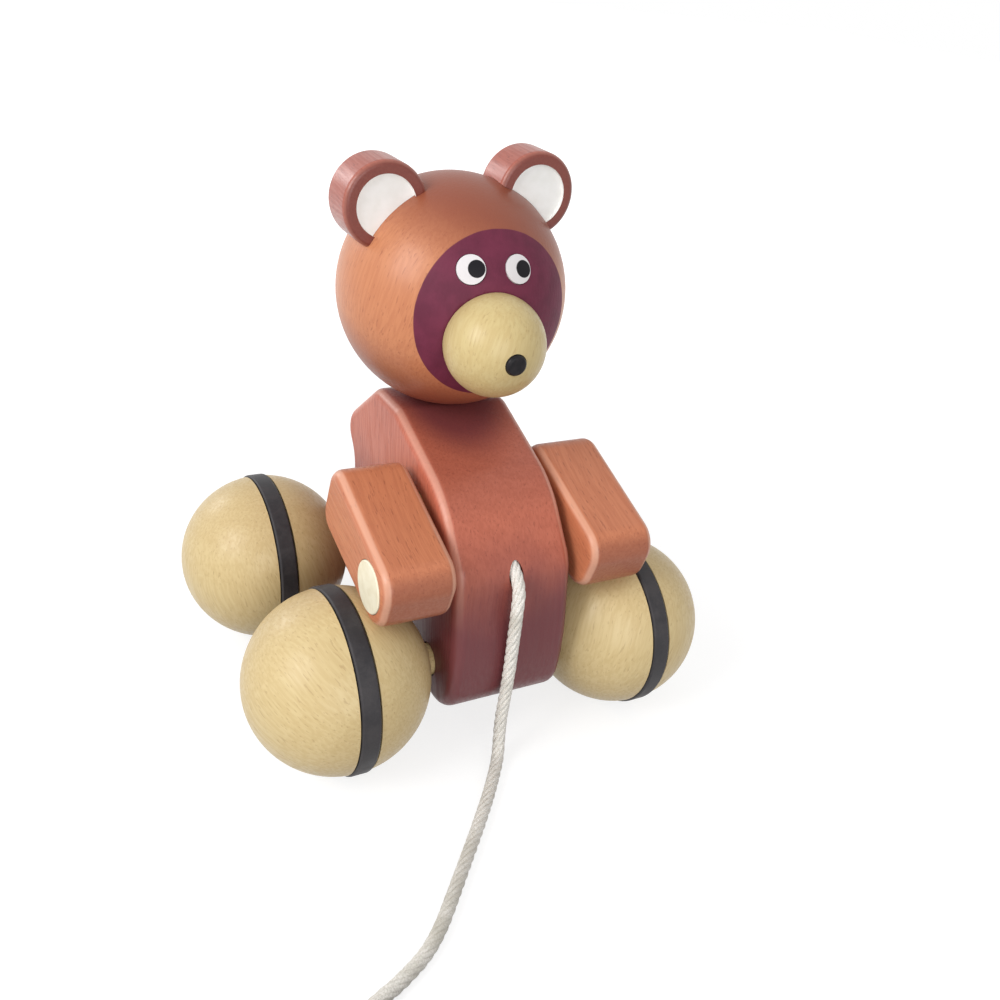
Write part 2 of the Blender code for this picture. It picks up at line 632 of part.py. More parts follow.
def make_cord(cotton, wood):
    """The pull cord, glued into its hole, with its spare length coiled round its bead."""
    route = [Vector(p) * MM for p in CORD_ROUTE]
    line = coil_line()
    end = line[0] - coil_start() * GLUE_GAP
    straight = end - coil_start() * 2 * CORD_RADIUS
    tube("pull_cord", [*smooth_curve([*route, straight], 4 * CORD_RADIUS), end], 2, cotton)
    tube("cord_coil", line, 1, cotton)
    print(f"least gap between the coil's turns: {least_gap(line) / MM:.2f} mm")
    place = aimed(bead_centre(), bead_axis(), (0, 0, 1))
    bore = CORD_RADIUS + BEAD_BORE_GAP
    mouth = math.asin(bore / BEAD_RADIUS)
    ring = arc(BEAD_RADIUS, mouth, math.pi - mouth)
    add_object("pull_bead", lathe(ring, SMALL_STEPS), [wood], None, place)
    low = BEAD_RADIUS + 2 * GLUE_GAP
    high = low + KNOT_LENGTH
    profile = [(0, low), (KNOT_RADIUS - KNOT_ROUNDING, low), (KNOT_RADIUS, low + KNOT_ROUNDING)]
    profile += [(KNOT_RADIUS, high - KNOT_ROUNDING), (CORD_RADIUS, high)]
    profile += [(CORD_RADIUS, high + KNOT_TAIL), (0, high + KNOT_TAIL)]
    add_object("cord_knot", lathe(profile, SMALL_STEPS // 2), [cotton], None, place)


clear_scene()
stained = finish("stained_wood", (0.46, 0.14, 0.075), 0.32, 0.5)
natural = finish("natural_wood", (0.80, 0.60, 0.30), 0.38, 0.4)
dowel_wood = finish("dowel_wood", (0.68, 0.48, 0.26), 0.6)
rubber = finish("black_rubber", (0.025, 0.02, 0.024), 0.6)
mask_paint = finish("mask_paint", (0.16, 0.03, 0.04), 0.3, 0.5)
white_paint = finish("white_paint", (0.88, 0.86, 0.80), 0.3, 0.4)
black_paint = finish("black_paint", (0.012, 0.010, 0.014), 0.25, 0.4)
cream_paint = finish("cream_paint", (0.80, 0.74, 0.52), 0.35, 0.4)
cotton = finish("cotton_cord", (0.62, 0.60, 0.50), 0.9)

make_body(stained)
make_wheelset("front", -WHEELBASE / 2, natural, dowel_wood, rubber)
make_wheelset("rear", WHEELBASE / 2, natural, dowel_wood, rubber)
make_arms(stained, dowel_wood, cream_paint)
neck_line = make_head(stained, mask_paint, dowel_wood)
make_face(neck_line, natural, black_paint, white_paint)
make_ears(neck_line, stained, white_paint, dowel_wood)
make_cord(cotton, natural)
bpy.context.view_layer.update()
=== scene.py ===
"""A wooden bear that rolls on four banded ball wheels and is pulled along by a cotton cord."""

import math

import bmesh
import bpy
from mathutils import Matrix, Vector


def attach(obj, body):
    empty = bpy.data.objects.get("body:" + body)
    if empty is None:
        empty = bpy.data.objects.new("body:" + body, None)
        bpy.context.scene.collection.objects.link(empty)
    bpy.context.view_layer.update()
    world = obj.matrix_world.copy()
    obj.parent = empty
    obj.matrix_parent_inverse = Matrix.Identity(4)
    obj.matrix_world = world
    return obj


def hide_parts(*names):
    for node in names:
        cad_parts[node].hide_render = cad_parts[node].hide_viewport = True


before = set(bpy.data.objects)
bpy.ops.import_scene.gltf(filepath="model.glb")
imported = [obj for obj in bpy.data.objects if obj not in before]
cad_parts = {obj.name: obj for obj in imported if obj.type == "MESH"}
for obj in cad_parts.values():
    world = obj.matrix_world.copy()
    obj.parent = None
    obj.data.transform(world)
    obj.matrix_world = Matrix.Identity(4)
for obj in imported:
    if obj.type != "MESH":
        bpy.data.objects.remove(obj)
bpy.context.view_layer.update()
MM = 0.001

# The camera stands at the bear's front right and looks down on it, as it did for the photograph.
# It has a normal lens, and everything is in focus.
CAMERA_LENS = 37.24
CAMERA_PLACE = Vector((-112.6, -211.8, 182.4)) * MM
CAMERA_TURN = [math.radians(angle) for angle in (61.256, -6.559, -27.861)]
camera = bpy.data.objects.new("camera", bpy.data.cameras.new("camera"))
camera.data.lens = CAMERA_LENS
camera.location = CAMERA_PLACE
camera.rotation_euler = CAMERA_TURN
bpy.context.scene.collection.objects.link(camera)
bpy.context.scene.camera = camera

# The pull cord is limp cotton, twisted from six strands and glued into a hole in the bear's chest.
# It hangs down the belly and runs over the floor. Its spare length lies there in a round coil of
# two layers, with the bead on its end in the middle.
CORD_WIDTH = 3.2 * MM
CORD_HEIGHT = 1.65 * MM
CORD_STEP = 0.9 * MM
CURVE_STEPS = 16
STRANDS = 6
STRAND_RADIUS = 0.62 * MM
STRAND_LAY = 15 * MM
CORD_ROUTE = (
    (0, -30.3, 57.4),
    (0, -34.9, 54.1),
    (0, -39.5, 50.8),
    (-0.6, -42.5, 48.4),
    (-1.4, -44.1, 45.2),
    (-1.7, -44.7, 41),
    (-1.7, -44.8, 35.5),
    (-1.6, -44.8, 28),
    (-1.5, -44.5, 20),
    (-1.6, -44.3, 13.5),
    (-1.7, -44.6, 8.6),
    (-2.1, -45.7, 4.7),
    (-3.2, -47.7, 2.35),
    (-5.4, -50.8, 1.65),
    (-10.8, -57.7, 1.65),
    (-17.3, -65.3, 1.65),
    (-24.0, -72.8, 1.65),
    (-31.0, -80.6, 1.65),
    (-37.2, -87.3, 1.65),
    (-42.8, -92.0, 1.65),
    (-49.5, -95.6, 1.65),
    (-57.5, -98.8, 1.65),
    (-65.8, -102.5, 1.65),
    (-73.6, -107.8, 1.65),
    (-79.6, -114.8, 1.65),
)
COIL_CENTRE = Vector((-60, -128, 0)) * MM
COIL_OUTER_RADIUS = 22.9 * MM
COIL_PITCH = 3.7 * MM
COIL_LAYER = 3.7 * MM
COIL_LAYER_TURNS = 2
COIL_CLIMB = 0.5
COIL_STEPS = 24
TAIL_BEND = 7 * MM
TAIL_STEPS = 8
BEAD_RADIUS = 9 * MM
BEAD_BACK = 2.5 * MM
CORD_PAST_BEAD = 0.3 * MM
COTTON = ((0.66, 0.63, 0.57, 1), (0.88, 0.85, 0.80, 1))
SOILED_COTTON = (0.44, 0.41, 0.33, 1)
YARN_RELIEF = 0.12 * MM


def climb(turn):
    """How much of a layer the cord has climbed, over the half turn around turn 0."""
    part = min(1, max(0, turn / COIL_CLIMB + 0.5))
    return part**2 * (3 - 2 * part)


def coil_point(turn):
    """Where the coil's cord is after so many turns: in on the lower layer, out on the upper."""
    last = 2 * COIL_LAYER_TURNS
    radius = COIL_OUTER_RADIUS - COIL_PITCH * (turn if turn < COIL_LAYER_TURNS else last - turn)
    height = CORD_HEIGHT + COIL_LAYER * (climb(turn - COIL_LAYER_TURNS) + climb(turn - last))
    angle = math.pi + 2 * math.pi * turn
    return COIL_CENTRE + Vector((radius * math.cos(angle), radius * math.sin(angle), height))


def smooth_curve(points, spacing):
    """Points at an even spacing along one smooth curve through the points given."""
    padded = [points[0] * 2 - points[1], *points, points[-1] * 2 - points[-2]]
    fine = []
    for a, b, c, d in zip(padded, padded[1:], padded[2:], padded[3:]):
        bend = 2 * a - 5 * b + 4 * c - d
        twist = 3 * b - a - 3 * c + d
        for k in range(CURVE_STEPS):
            t = k / CURVE_STEPS
            fine.append((2 * b + (c - a) * t + bend * t**2 + twist * t**3) / 2)
    fine.append(points[-1])
    steps = [(q - p).length for p, q in zip(fine, fine[1:])]
    count = round(sum(steps) / spacing)
    even = [fine[0]]
    walked = 0.0
    at = 0
    for k in range(1, count):
        target = sum(steps) * k / count
        while walked + steps[at] < target:
            walked += steps[at]
            at += 1
        even.append(fine[at].lerp(fine[at + 1], (target - walked) / steps[at]))
    return [*even, fine[-1]]


coil_turns = 2 * COIL_LAYER_TURNS + COIL_CLIMB / 2
coil = [coil_point(k / COIL_STEPS) for k in range(round(COIL_STEPS * coil_turns) + 1)]
coil_reach = COIL_CENTRE.y - coil[-1].y
tail_turn = math.pi - math.acos(TAIL_BEND / (coil_reach - TAIL_BEND))
hub = coil[-1] + Vector((0, TAIL_BEND, 0))
tail = []
for k in range(1, TAIL_STEPS + 1):
    turned = tail_turn * k / TAIL_STEPS
    tail.append(hub + Vector((math.sin(turned), -math.cos(turned), 0)) * TAIL_BEND)
bead_axis = Vector((math.cos(tail_turn), math.sin(tail_turn), 0))
bead_centre = COIL_CENTRE + Vector((0, 0, CORD_HEIGHT + 2 * COIL_LAYER)) - bead_axis * BEAD_BACK
cord_end = bead_centre + bead_axis * (BEAD_RADIUS + CORD_PAST_BEAD)
route = [Vector(point) * MM for point in CORD_ROUTE]
line = smooth_curve([*route, *coil, *tail, cord_end], CORD_STEP)
cord_length = sum((q - p).length for p, q in zip(line, line[1:]))


def place_node(tree, kind, inputs, **settings):
    """Adds a shader node, and fills its inputs with values or with the sockets that feed them."""
    node = tree.nodes.new("ShaderNode" + kind)
    for option, value in settings.items():
        setattr(node, option, value)
    for slot, value in inputs.items():
        if isinstance(value, bpy.types.NodeSocket):
            tree.links.new(value, node.inputs[slot])
        else:
            node.inputs[slot].default_value = value
    return node


def object_spot(tree):
    """Where on the object a point of the surface is."""
    return place_node(tree, "TexCoord", {}).outputs["Object"]


def noise(tree, spot, scale, detail, **more):
    """A soft uneven pattern from 0 to 1, the finer the larger its scale."""
    inputs = {"Vector": spot, "Scale": scale, "Detail": detail, **more}
    return place_node(tree, "TexNoise", inputs).outputs[0]


def blend_colours(tree, amount, first, second):
    """One colour laid over another by an amount, each a colour or a socket."""
    inputs = {0: amount, 6: first, 7: second}
    return place_node(tree, "Mix", inputs, data_type="RGBA").outputs[2]


def between(tree, value, low, high, start=0.0, end=1.0):
    """A value brought from the range low to high into the range start to end, and kept in it."""
    inputs = {0: value, 1: low, 2: high, 3: start, 4: end}
    return place_node(tree, "MapRange", inputs, interpolation_type="SMOOTHSTEP").outputs[0]


def new_group(name, inputs, outputs):
    """An empty group of shader nodes, with its inputs and outputs to wire up inside it."""
    group = bpy.data.node_groups.new(name, "ShaderNodeTree")
    for label, kind in inputs.items():
        group.interface.new_socket(label, in_out="INPUT", socket_type="NodeSocket" + kind)
    for label, kind in outputs.items():
        group.interface.new_socket(label, in_out="OUTPUT", socket_type="NodeSocket" + kind)
    given = group.nodes.new("NodeGroupInput").outputs
    wanted = group.nodes.new("NodeGroupOutput").inputs
    return group, given, wanted


def new_finish(name, roughness, coat=0.0, coat_roughness=0.1, specular=0.3):
    """An empty finish, with the values that are the same all over it set on its shader."""
    finish = bpy.data.materials.new(name)
    finish.use_nodes = True
    shader = finish.node_tree.nodes["Principled BSDF"]
    shader.inputs["Roughness"].default_value = roughness
    shader.inputs["Coat Weight"].default_value = coat
    shader.inputs["Coat Roughness"].default_value = coat_roughness
    shader.inputs["Specular IOR Level"].default_value = specular
    return finish, finish.node_tree, shader


def add_bump(tree, shader, height, depth):
    """Raises a surface by a height from 0 to 1, times a depth in metres."""
    bump = place_node(tree, "Bump", {"Height": height, "Distance": depth, "Strength": 1.0})
    tree.links.new(bump.outputs[0], shader.inputs["Normal"])


# Two close shades that mottle a surface, as yarn and brushed paint show them.
mottle, given, wanted = new_group(
    "mottled_shades",
    {
        "Position": "Vector",
        "Scale": "Float",
        "Detail": "Float",
        "First": "Color",
        "Second": "Color",
    },
    {"Colour": "Color", "Height": "Float"},
)
streaks = noise(mottle, given["Position"], given["Scale"], given["Detail"])
amount = between(mottle, streaks, 0.3, 0.7)
shades = blend_colours(mottle, amount, given["First"], given["Second"])
mottle.links.new(shades, wanted["Colour"])
mottle.links.new(streaks, wanted["Height"])


def mottled(tree, spot, shades, scale, detail):
    """Two shades mottled over a surface, the finer the larger the scale, and their height."""
    first, second = shades
    inputs = {"Position": spot, "Scale": scale, "Detail": detail, "First": first, "Second": second}
    return place_node(tree, "Group", inputs, node_tree=mottle).outputs


cotton, tree, shader = new_finish("cotton_yarn", roughness=0.9)
spot = object_spot(tree)
yarn = mottled(tree, spot, COTTON, scale=2600, detail=3)
soiling = between(tree, noise(tree, spot, 90, 2), 0.5, 0.75, 0, 0.5)
worn = blend_colours(tree, soiling, yarn["Colour"], SOILED_COTTON)
tree.links.new(worn, shader.inputs["Base Color"])
shader.inputs["Sheen Weight"].default_value = 0.25
add_bump(tree, shader, yarn["Height"], YARN_RELIEF)

strands = bpy.data.curves.new("strands", "CURVE")
strands.dimensions = "3D"
strands.bevel_depth = STRAND_RADIUS
strands.bevel_resolution = 2
strands.use_fill_caps = True
frames = []
across = Vector((1, 0, 0))
for i, point in enumerate(line):
    ahead = (line[min(i + 1, len(line) - 1)] - line[max(i - 1, 0)]).normalized()
    across = (across - ahead * across.dot(ahead)).normalized()
    frames.append((point, across, ahead.cross(across), cord_length * i / (len(line) - 1)))
for strand in range(STRANDS):
    spline = strands.splines.new("POLY")
    spline.points.add(len(line) - 1)
    for knot, (point, side, up, walked) in zip(spline.points, frames):
        angle = 2 * math.pi * (walked / STRAND_LAY + strand / STRANDS)
        spread = CORD_WIDTH / 2 - STRAND_RADIUS
        knot.co = (*(point + (side * math.cos(angle) + up * math.sin(angle)) * spread), 1)
twisted = bpy.data.meshes.new_from_object(bpy.data.objects.new("strands", strands))
twisted.materials.clear()
twisted.materials.append(cotton)
twisted.shade_smooth()
cord = bpy.data.objects.new("pull_cord_twist", twisted)
bpy.context.scene.collection.objects.link(cord)
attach(cord, "trunk")
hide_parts("pull_cord", "cord_coil")

# The body is a thick beech board, sawn to the outline of a sitting bear, its edges rounded over and
# its bores drilled. It is stained red-brown and lacquered. Its colour is painted darker towards the
# bottom and round the neck under the head: painted shade.
BODY_HALF = 15.7 * MM
BODY_EDGE = 2.8 * MM
AXLE_Z = 22.8 * MM
BODY_CORNERS = (
    (15, 77.5, 6),
    (1, 77.5, 6),
    (-26.5, 67.8, 25),
    (-39.4, 52.5, 10),
    (-43, 30, 45),
    (-41.2, 12.8, 9),
    (38.5, 12.8, 9),
    (40.3, 32, 14),
    (24, 48, 9),
    (35, 60.8, 6.5),
)
SHOULDER = Vector((0, -15.5, 59)) * MM
NECK_FOOT = Vector((0, 8, 77.5)) * MM
CROSSWAYS = ((-29, 22.8), (29, 22.8), (-15.5, 59))
TURNING_BORE = 4.4 * MM
NECK_BORE_DEPTH = 14.3 * MM
CORD_BORE = 1.9 * MM
CORD_BORE_DEPTH = 12.3 * MM
BORE_START = 6 * MM
BORE_REACH = 40 * MM
ROUND_STEPS = 96
CORNER_STEP = math.radians(6)
MERGE_GAP = 0.002 * MM
NEAR = 0.1 * MM
SHARP_ANGLE = math.radians(35)
# The last colour is that of the edges: worn pale, and a painted highlight.
STAIN = (
    (0.53, 0.150, 0.088, 1),
    (0.37, 0.090, 0.050, 1),
    (0.16, 0.032, 0.022, 1),
    (0.84, 0.46, 0.34, 1),
)
BODY_PITH = Vector((0.02, 0.03, 0))
# Painted shade: this colour darkens the body towards the bottom and round its neck under the head.
PAINTED_SHADE = (0.13, 0.028, 0.036, 1)
FOOT_SHADE_FADE = (29 * MM, 56 * MM)
FOOT_SHADE_WANDER = 16 * MM
FOOT_SHADE_STRENGTH = 0.95
NECK_SHADE_FADE = (15 * MM, 29 * MM)
NECK_SHADE_SQUEEZE = (1.6, 1, 1)
NECK_SHADE_STRENGTH = 0.85
WOOD_ROUGHNESS = (0.36, 0.5)
LACQUER_ROUGHNESS = 0.26
OFF_GRAIN = Vector((0.61, 0.35, 0.2))
GRAIN_SWAY = (6 * MM, 6 * MM, 6 * MM)
FIBRE_STRETCH = (1, 1, 0.05)
FLECK_STRETCH = (1, 1, 0.16)
FIBRE_DEPTH = 0.02 * MM


def aimed(origin, direction, sideways=Vector((1, 0, 0))):
    """A placement at origin whose Z points along direction and whose X stays close to sideways."""
    z = Vector(direction).normalized()
    x = (Vector(sideways) - z * z.dot(Vector(sideways))).normalized()
    return Matrix.Translation(origin) @ Matrix((x, z.cross(x), z)).transposed().to_4x4()


def rod(radius, low, high, place=Matrix()):
    """A round rod along its placement's Z, from low to high."""
    shape = bmesh.new()
    bmesh.ops.create_cone(
        shape,
        cap_ends=True,
        segments=ROUND_STEPS,
        radius1=radius,
        radius2=radius,
        depth=high - low,
        matrix=place @ Matrix.Translation((0, 0, (low + high) / 2)),
    )
    return shape


def ball(radius, centre):
    """A ball of even, fine triangles."""
    shape = bmesh.new()
    place = Matrix.Translation(centre)
    bmesh.ops.create_icosphere(shape, subdivisions=6, radius=radius, matrix=place)
    return shape


def round_over(shape, geometry, width, affect="EDGES", segments=6):
    """Rounds edges or corners over, to a width."""
    bmesh.ops.bevel(
        shape,
        geom=geometry,
        offset=width,
        segments=segments,
        profile=0.5,
        affect=affect,
        material=-1,
    )


def board(corners, inner, outer, edge):
    """A board sawn to an outline of (y, z, corner radius) in mm, from x = inner to x = outer."""
    shape = bmesh.new()
    points = [Vector((inner, y * MM, z * MM)) for y, z, radius in corners]
    marks = [shape.verts.new(point) for point in points]
    shape.faces.new(marks)
    for i, mark in enumerate(marks):
        before = points[i - 1] - points[i]
        half = before.angle(points[(i + 1) % len(points)] - points[i]) / 2
        reach = corners[i][2] * MM / math.tan(half)
        count = max(2, round((math.pi - 2 * half) / CORNER_STEP))
        round_over(shape, [mark], reach, "VERTICES", count)
    pushed = bmesh.ops.extrude_face_region(shape, geom=shape.faces[:])["geom"]
    moved = [v for v in pushed if isinstance(v, bmesh.types.BMVert)]
    bmesh.ops.translate(shape, verts=moved, vec=(outer - inner, 0, 0))
    rims = [e for e in shape.edges if abs(e.verts[0].co.x - e.verts[1].co.x) < NEAR]
    round_over(shape, rims, edge)
    return shape


def carve(shape, *cutters):
    """Cuts shapes out of a shape, one after another, and gives back what is left of it."""
    helpers = []
    for part in (shape, *cutters):
        bmesh.ops.recalc_face_normals(part, faces=part.faces[:])
        mesh = bpy.data.meshes.new("helper")
        part.to_mesh(mesh)
        part.free()
        helpers.append(bpy.data.objects.new("helper", mesh))
        bpy.context.scene.collection.objects.link(helpers[-1])
    for cutter in helpers[1:]:
        step = helpers[0].modifiers.new("cut", "BOOLEAN")
        step.operation = "DIFFERENCE"
        step.solver = "EXACT"
        step.object = cutter
    left = bmesh.new()
    left.from_object(helpers[0], bpy.context.evaluated_depsgraph_get())
    for helper in helpers:
        bpy.data.objects.remove(helper)
    return left


def add_piece(name, shape, body, slot, finishes, *nodes):
    """Makes a shape a piece that rides on a body, in place of the plain solids named."""
    bmesh.ops.remove_doubles(shape, verts=shape.verts[:], dist=MERGE_GAP)
    bmesh.ops.recalc_face_normals(shape, faces=shape.faces[:])
    mesh = bpy.data.meshes.new(name)
    shape.to_mesh(mesh)
    shape.free()
    for finish in finishes:
        mesh.materials.append(finish)
    mesh.shade_smooth()
    mesh.set_sharp_from_angle(angle=SHARP_ANGLE)
    piece = bpy.data.objects.new(name, mesh)
    bpy.context.scene.collection.objects.link(piece)
    piece.modifiers.new("even shading", "WEIGHTED_NORMAL").keep_sharp = True
    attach(piece, body)
    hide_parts(*nodes)
    return piece


def work_out(tree, operation, *values):
    """A sum that is worked out at every point of a surface."""
    return place_node(tree, "Math", dict(enumerate(values)), operation=operation).outputs[0]


def work_out_vector(tree, operation, *values):
    """The same for vectors. It gives a number where it measures something, and else a vector."""
    node = place_node(tree, "VectorMath", dict(enumerate(values)), operation=operation)
    measures = operation in ("DOT_PRODUCT", "LENGTH", "DISTANCE")
    return node.outputs["Value" if measures else "Vector"]


# Beech shows broad pale growth rings, fine fibres and short dark flecks along the grain. Its end
# grain soaks up more stain. Its rounded edges are paler, as worn wood and as a painted highlight.
figure, given, wanted = new_group(
    "beech_figure",
    {
        "Position": "Vector",
        "Rings": "Float",
        "Normal": "Vector",
        "Along": "Vector",
        "Faces": "Vector",
    },
    {
        "Growth": "Float",
        "Fibre": "Float",
        "Fleck": "Float",
        "End grain": "Float",
        "Edge": "Float",
    },
)
position = given["Position"]
slow = {"Vector": position, "Scale": 28, "Detail": 2}
sway = place_node(figure, "TexNoise", slow).outputs["Color"]
swayed = work_out_vector(figure, "MULTIPLY_ADD", sway, GRAIN_SWAY, position)
growth = place_node(
    figure,
    "TexWave",
    {
        "Vector": swayed,
        "Scale": given["Rings"],
        "Distortion": 1.4,
        "Detail": 2,
        "Detail Scale": 1.2,
    },
    wave_type="RINGS",
    rings_direction="Z",
    wave_profile="SAW",
).outputs["Fac"]
fibre = noise(figure, work_out_vector(figure, "MULTIPLY", swayed, FIBRE_STRETCH), 1500, 4)
fleck = noise(figure, work_out_vector(figure, "MULTIPLY", swayed, FLECK_STRETCH), 2300, 1)
along = work_out_vector(figure, "DOT_PRODUCT", given["Normal"], given["Along"])
end_grain = between(figure, work_out(figure, "ABSOLUTE", along), 0.3, 0.85)
sideways = work_out_vector(figure, "DOT_PRODUCT", given["Normal"], given["Faces"])
turning = work_out(figure, "ABSOLUTE", sideways)
rising = between(figure, turning, 0.15, 0.5)
falling = between(figure, turning, 0.7, 0.97, 1, 0)
figure.links.new(between(figure, growth, 0.05, 1.0), wanted["Growth"])
figure.links.new(between(figure, fibre, 0.3, 0.7), wanted["Fibre"])
figure.links.new(between(figure, fleck, 0.62, 0.72), wanted["Fleck"])
figure.links.new(end_grain, wanted["End grain"])
figure.links.new(work_out(figure, "MULTIPLY", rising, falling), wanted["Edge"])


def lacquered_beech(
    name,
    centre,
    along,
    colours,
    rings,
    contrast,
    end_grain=0.0,
    wear_and_highlight=0.0,
    coat=0.2,
    faces=(1, 0, 0),
):
    """Beech under clear lacquer, its grain along a direction and its pith near a centre.

    Its colours are those of the wood, of its rings and fibres, of its flecks and end grain, and of
    the edges between the faces, which are worn pale and carry a painted highlight.
    """
    pale, dark, deep, edge_wear_and_highlight = colours
    finish, tree, shader = new_finish(name, WOOD_ROUGHNESS[0], coat, LACQUER_ROUGHNESS)
    surface = place_node(tree, "TexCoord", {}).outputs
    turn = aimed(centre, along, OFF_GRAIN).inverted()
    turned = {
        "Vector": surface["Object"],
        "Location": turn.to_translation(),
        "Rotation": turn.to_euler(),
    }
    grain = {
        "Position": place_node(tree, "Mapping", turned).outputs[0],
        "Rings": rings,
        "Normal": surface["Normal"],
        "Along": Vector(along).normalized(),
        "Faces": faces,
    }
    wood = place_node(tree, "Group", grain, node_tree=figure).outputs
    layers = (
        (between(tree, wood["Growth"], 0, 1, 0, contrast / 3), dark),
        (between(tree, wood["Fibre"], 0, 1, 0, contrast), dark),
        (between(tree, wood["Fleck"], 0, 1, 0, contrast), deep),
        (work_out(tree, "MULTIPLY", wood["End grain"], end_grain), deep),
        # The edges between the faces are paler: worn wood and a painted highlight.
        (between(tree, wood["Edge"], 0, 1, 0, wear_and_highlight), edge_wear_and_highlight),
    )
    colour = pale
    for amount, shade in layers:
        colour = blend_colours(tree, amount, colour, shade)
    tree.links.new(colour, shader.inputs["Base Color"])
    sheen = between(tree, wood["Fibre"], 0, 1, *WOOD_ROUGHNESS)
    tree.links.new(sheen, shader.inputs["Roughness"])
    add_bump(tree, shader, wood["Fibre"], FIBRE_DEPTH)
    return finish


upright = lacquered_beech(
    "stained_body",
    BODY_PITH,
    (0, 0.2, 1),
    STAIN,
    rings=90,
    contrast=0.35,
    end_grain=0.3,
    wear_and_highlight=0.4,
)
tree = upright.node_tree
shader = tree.nodes["Principled BSDF"]
stain_colour = shader.inputs["Base Color"].links[0].from_socket
# Painted shade: the stain is darkened towards the bottom and round the neck under the head.
spot = object_spot(tree)
height = place_node(tree, "SeparateXYZ", {0: spot}).outputs["Z"]
uneven = work_out(tree, "MULTIPLY_ADD", noise(tree, spot, 60, 2), -FOOT_SHADE_WANDER, height)
foot_shade = between(tree, uneven, *FOOT_SHADE_FADE, FOOT_SHADE_STRENGTH, 0)
from_neck = work_out_vector(tree, "SUBTRACT", spot, NECK_FOOT)
squeezed = work_out_vector(tree, "MULTIPLY", from_neck, NECK_SHADE_SQUEEZE)
reach = work_out_vector(tree, "LENGTH", squeezed)
neck_shade = between(tree, reach, *NECK_SHADE_FADE, NECK_SHADE_STRENGTH, 0)
shade_amount = work_out(tree, "MAXIMUM", foot_shade, neck_shade)
shaded_colour = blend_colours(tree, shade_amount, stain_colour, PAINTED_SHADE)
tree.links.new(shaded_colour, shader.inputs["Base Color"])
bores = [
    rod(TURNING_BORE, -BORE_REACH, BORE_REACH, aimed((0, y * MM, z * MM), (1, 0, 0), (0, 1, 0)))
    for y, z in CROSSWAYS
]
bores.append(rod(TURNING_BORE, -NECK_BORE_DEPTH, BORE_START, aimed(NECK_FOOT, (0, 0, 1))))
cord_hole = aimed(route[2], route[2] - route[0])
bores.append(rod(CORD_BORE, -CORD_BORE_DEPTH, BORE_START, cord_hole))
body = carve(board(BODY_CORNERS, -BODY_HALF, BODY_HALF, BODY_EDGE), *bores)
add_piece("body_board", body, "trunk", "stained_wood", [upright], "body")

# The wheels are beech balls, turned with a square groove round the middle and a blind bore on the
# inner side. They are left their natural colour, lacquered, and glued onto the ends of the axles.
BALL_RADIUS = 22.5 * MM
WHEEL_X = 39.5 * MM
WHEEL_Y = 29 * MM
GROOVE_HALF = 2.6 * MM
GROOVE_FLOOR = 20.5 * MM
GLUED_BORE = 4.3 * MM
AXLE_BORE_END = -2.2 * MM
ARC_STEPS = 24
BEECH = (
    (0.65, 0.51, 0.265, 1),
    (0.51, 0.355, 0.155, 1),
    (0.35, 0.205, 0.09, 1),
    (0.65, 0.51, 0.265, 1),
)
WHEEL_PITH = Vector((9, 6, -4)) * MM
WHEEL_GRAINS = {
    "front_left": (0.35, 0.2, 1),
    "front_right": (-0.5, 0.9, 0.5),
    "rear_left": (0.8, -0.3, 0.6),
    "rear_right": (-0.25, 0.15, 1),
}


def run_on(shape, last, *points):
    """Draws a profile on from its last point, through (distance from the axis, height) points."""
    for radius, height in points:
        step = shape.verts.new((radius, 0, height))
        shape.edges.new((last, step))
        last = step
    return last


def curve_on(shape, last, angle, centre=(0, 0), steps=ARC_STEPS):
    """Draws a profile on round an arc about a centre."""
    spun = bmesh.ops.spin(
        shape,
        geom=[last],
        cent=(centre[0], 0, centre[1]),
        axis=(0, 1, 0),
        angle=angle,
        steps=steps,
        use_merge=False,
    )
    return spun["geom_last"][0]


def turn_on_lathe(shape, place):
    """Turns a profile about Z, and puts the result in its place."""
    bmesh.ops.spin(
        shape,
        geom=shape.verts[:] + shape.edges[:],
        cent=(0, 0, 0),
        axis=(0, 0, 1),
        angle=2 * math.pi,
        steps=ROUND_STEPS,
        use_merge=True,
    )
    bmesh.ops.remove_doubles(shape, verts=shape.verts[:], dist=MERGE_GAP)
    bmesh.ops.transform(shape, matrix=place, verts=shape.verts[:])
    return shape


def wheel_place(wheel):
    """Where a wheel is, with its outer side up."""
    end, hand = wheel.split("_")
    side = 1 if hand == "left" else -1
    centre = Vector((side * WHEEL_X, WHEEL_Y if end == "rear" else -WHEEL_Y, AXLE_Z))
    return aimed(centre, (side, 0, 0), (0, 0, 1))


lip = math.acos(GROOVE_HALF / BALL_RADIUS)
bore_angle = math.asin(GLUED_BORE / BALL_RADIUS)
lip_radius = math.sqrt(BALL_RADIUS**2 - GROOVE_HALF**2)
for wheel, grain in WHEEL_GRAINS.items():
    place = wheel_place(wheel)
    shape = bmesh.new()
    last = curve_on(shape, shape.verts.new((0, 0, BALL_RADIUS)), lip)
    last = run_on(
        shape,
        last,
        (GROOVE_FLOOR, GROOVE_HALF),
        (GROOVE_FLOOR, -GROOVE_HALF),
        (lip_radius, -GROOVE_HALF),
    )
    last = curve_on(shape, last, lip - bore_angle)
    run_on(shape, last, (GLUED_BORE, AXLE_BORE_END), (0, AXLE_BORE_END))
    turn_on_lathe(shape, place)
    beech = lacquered_beech(
        f"natural_{wheel}",
        place.translation + WHEEL_PITH,
        grain,
        BEECH,
        rings=75,
        contrast=0.35,
        end_grain=0.12,
        coat=0.15,
    )
    turns_with = wheel.split("_")[0] + "_wheels"
    add_piece(f"{wheel}_ball", shape, turns_with, "natural_wood", [beech], f"{wheel}_wheel")

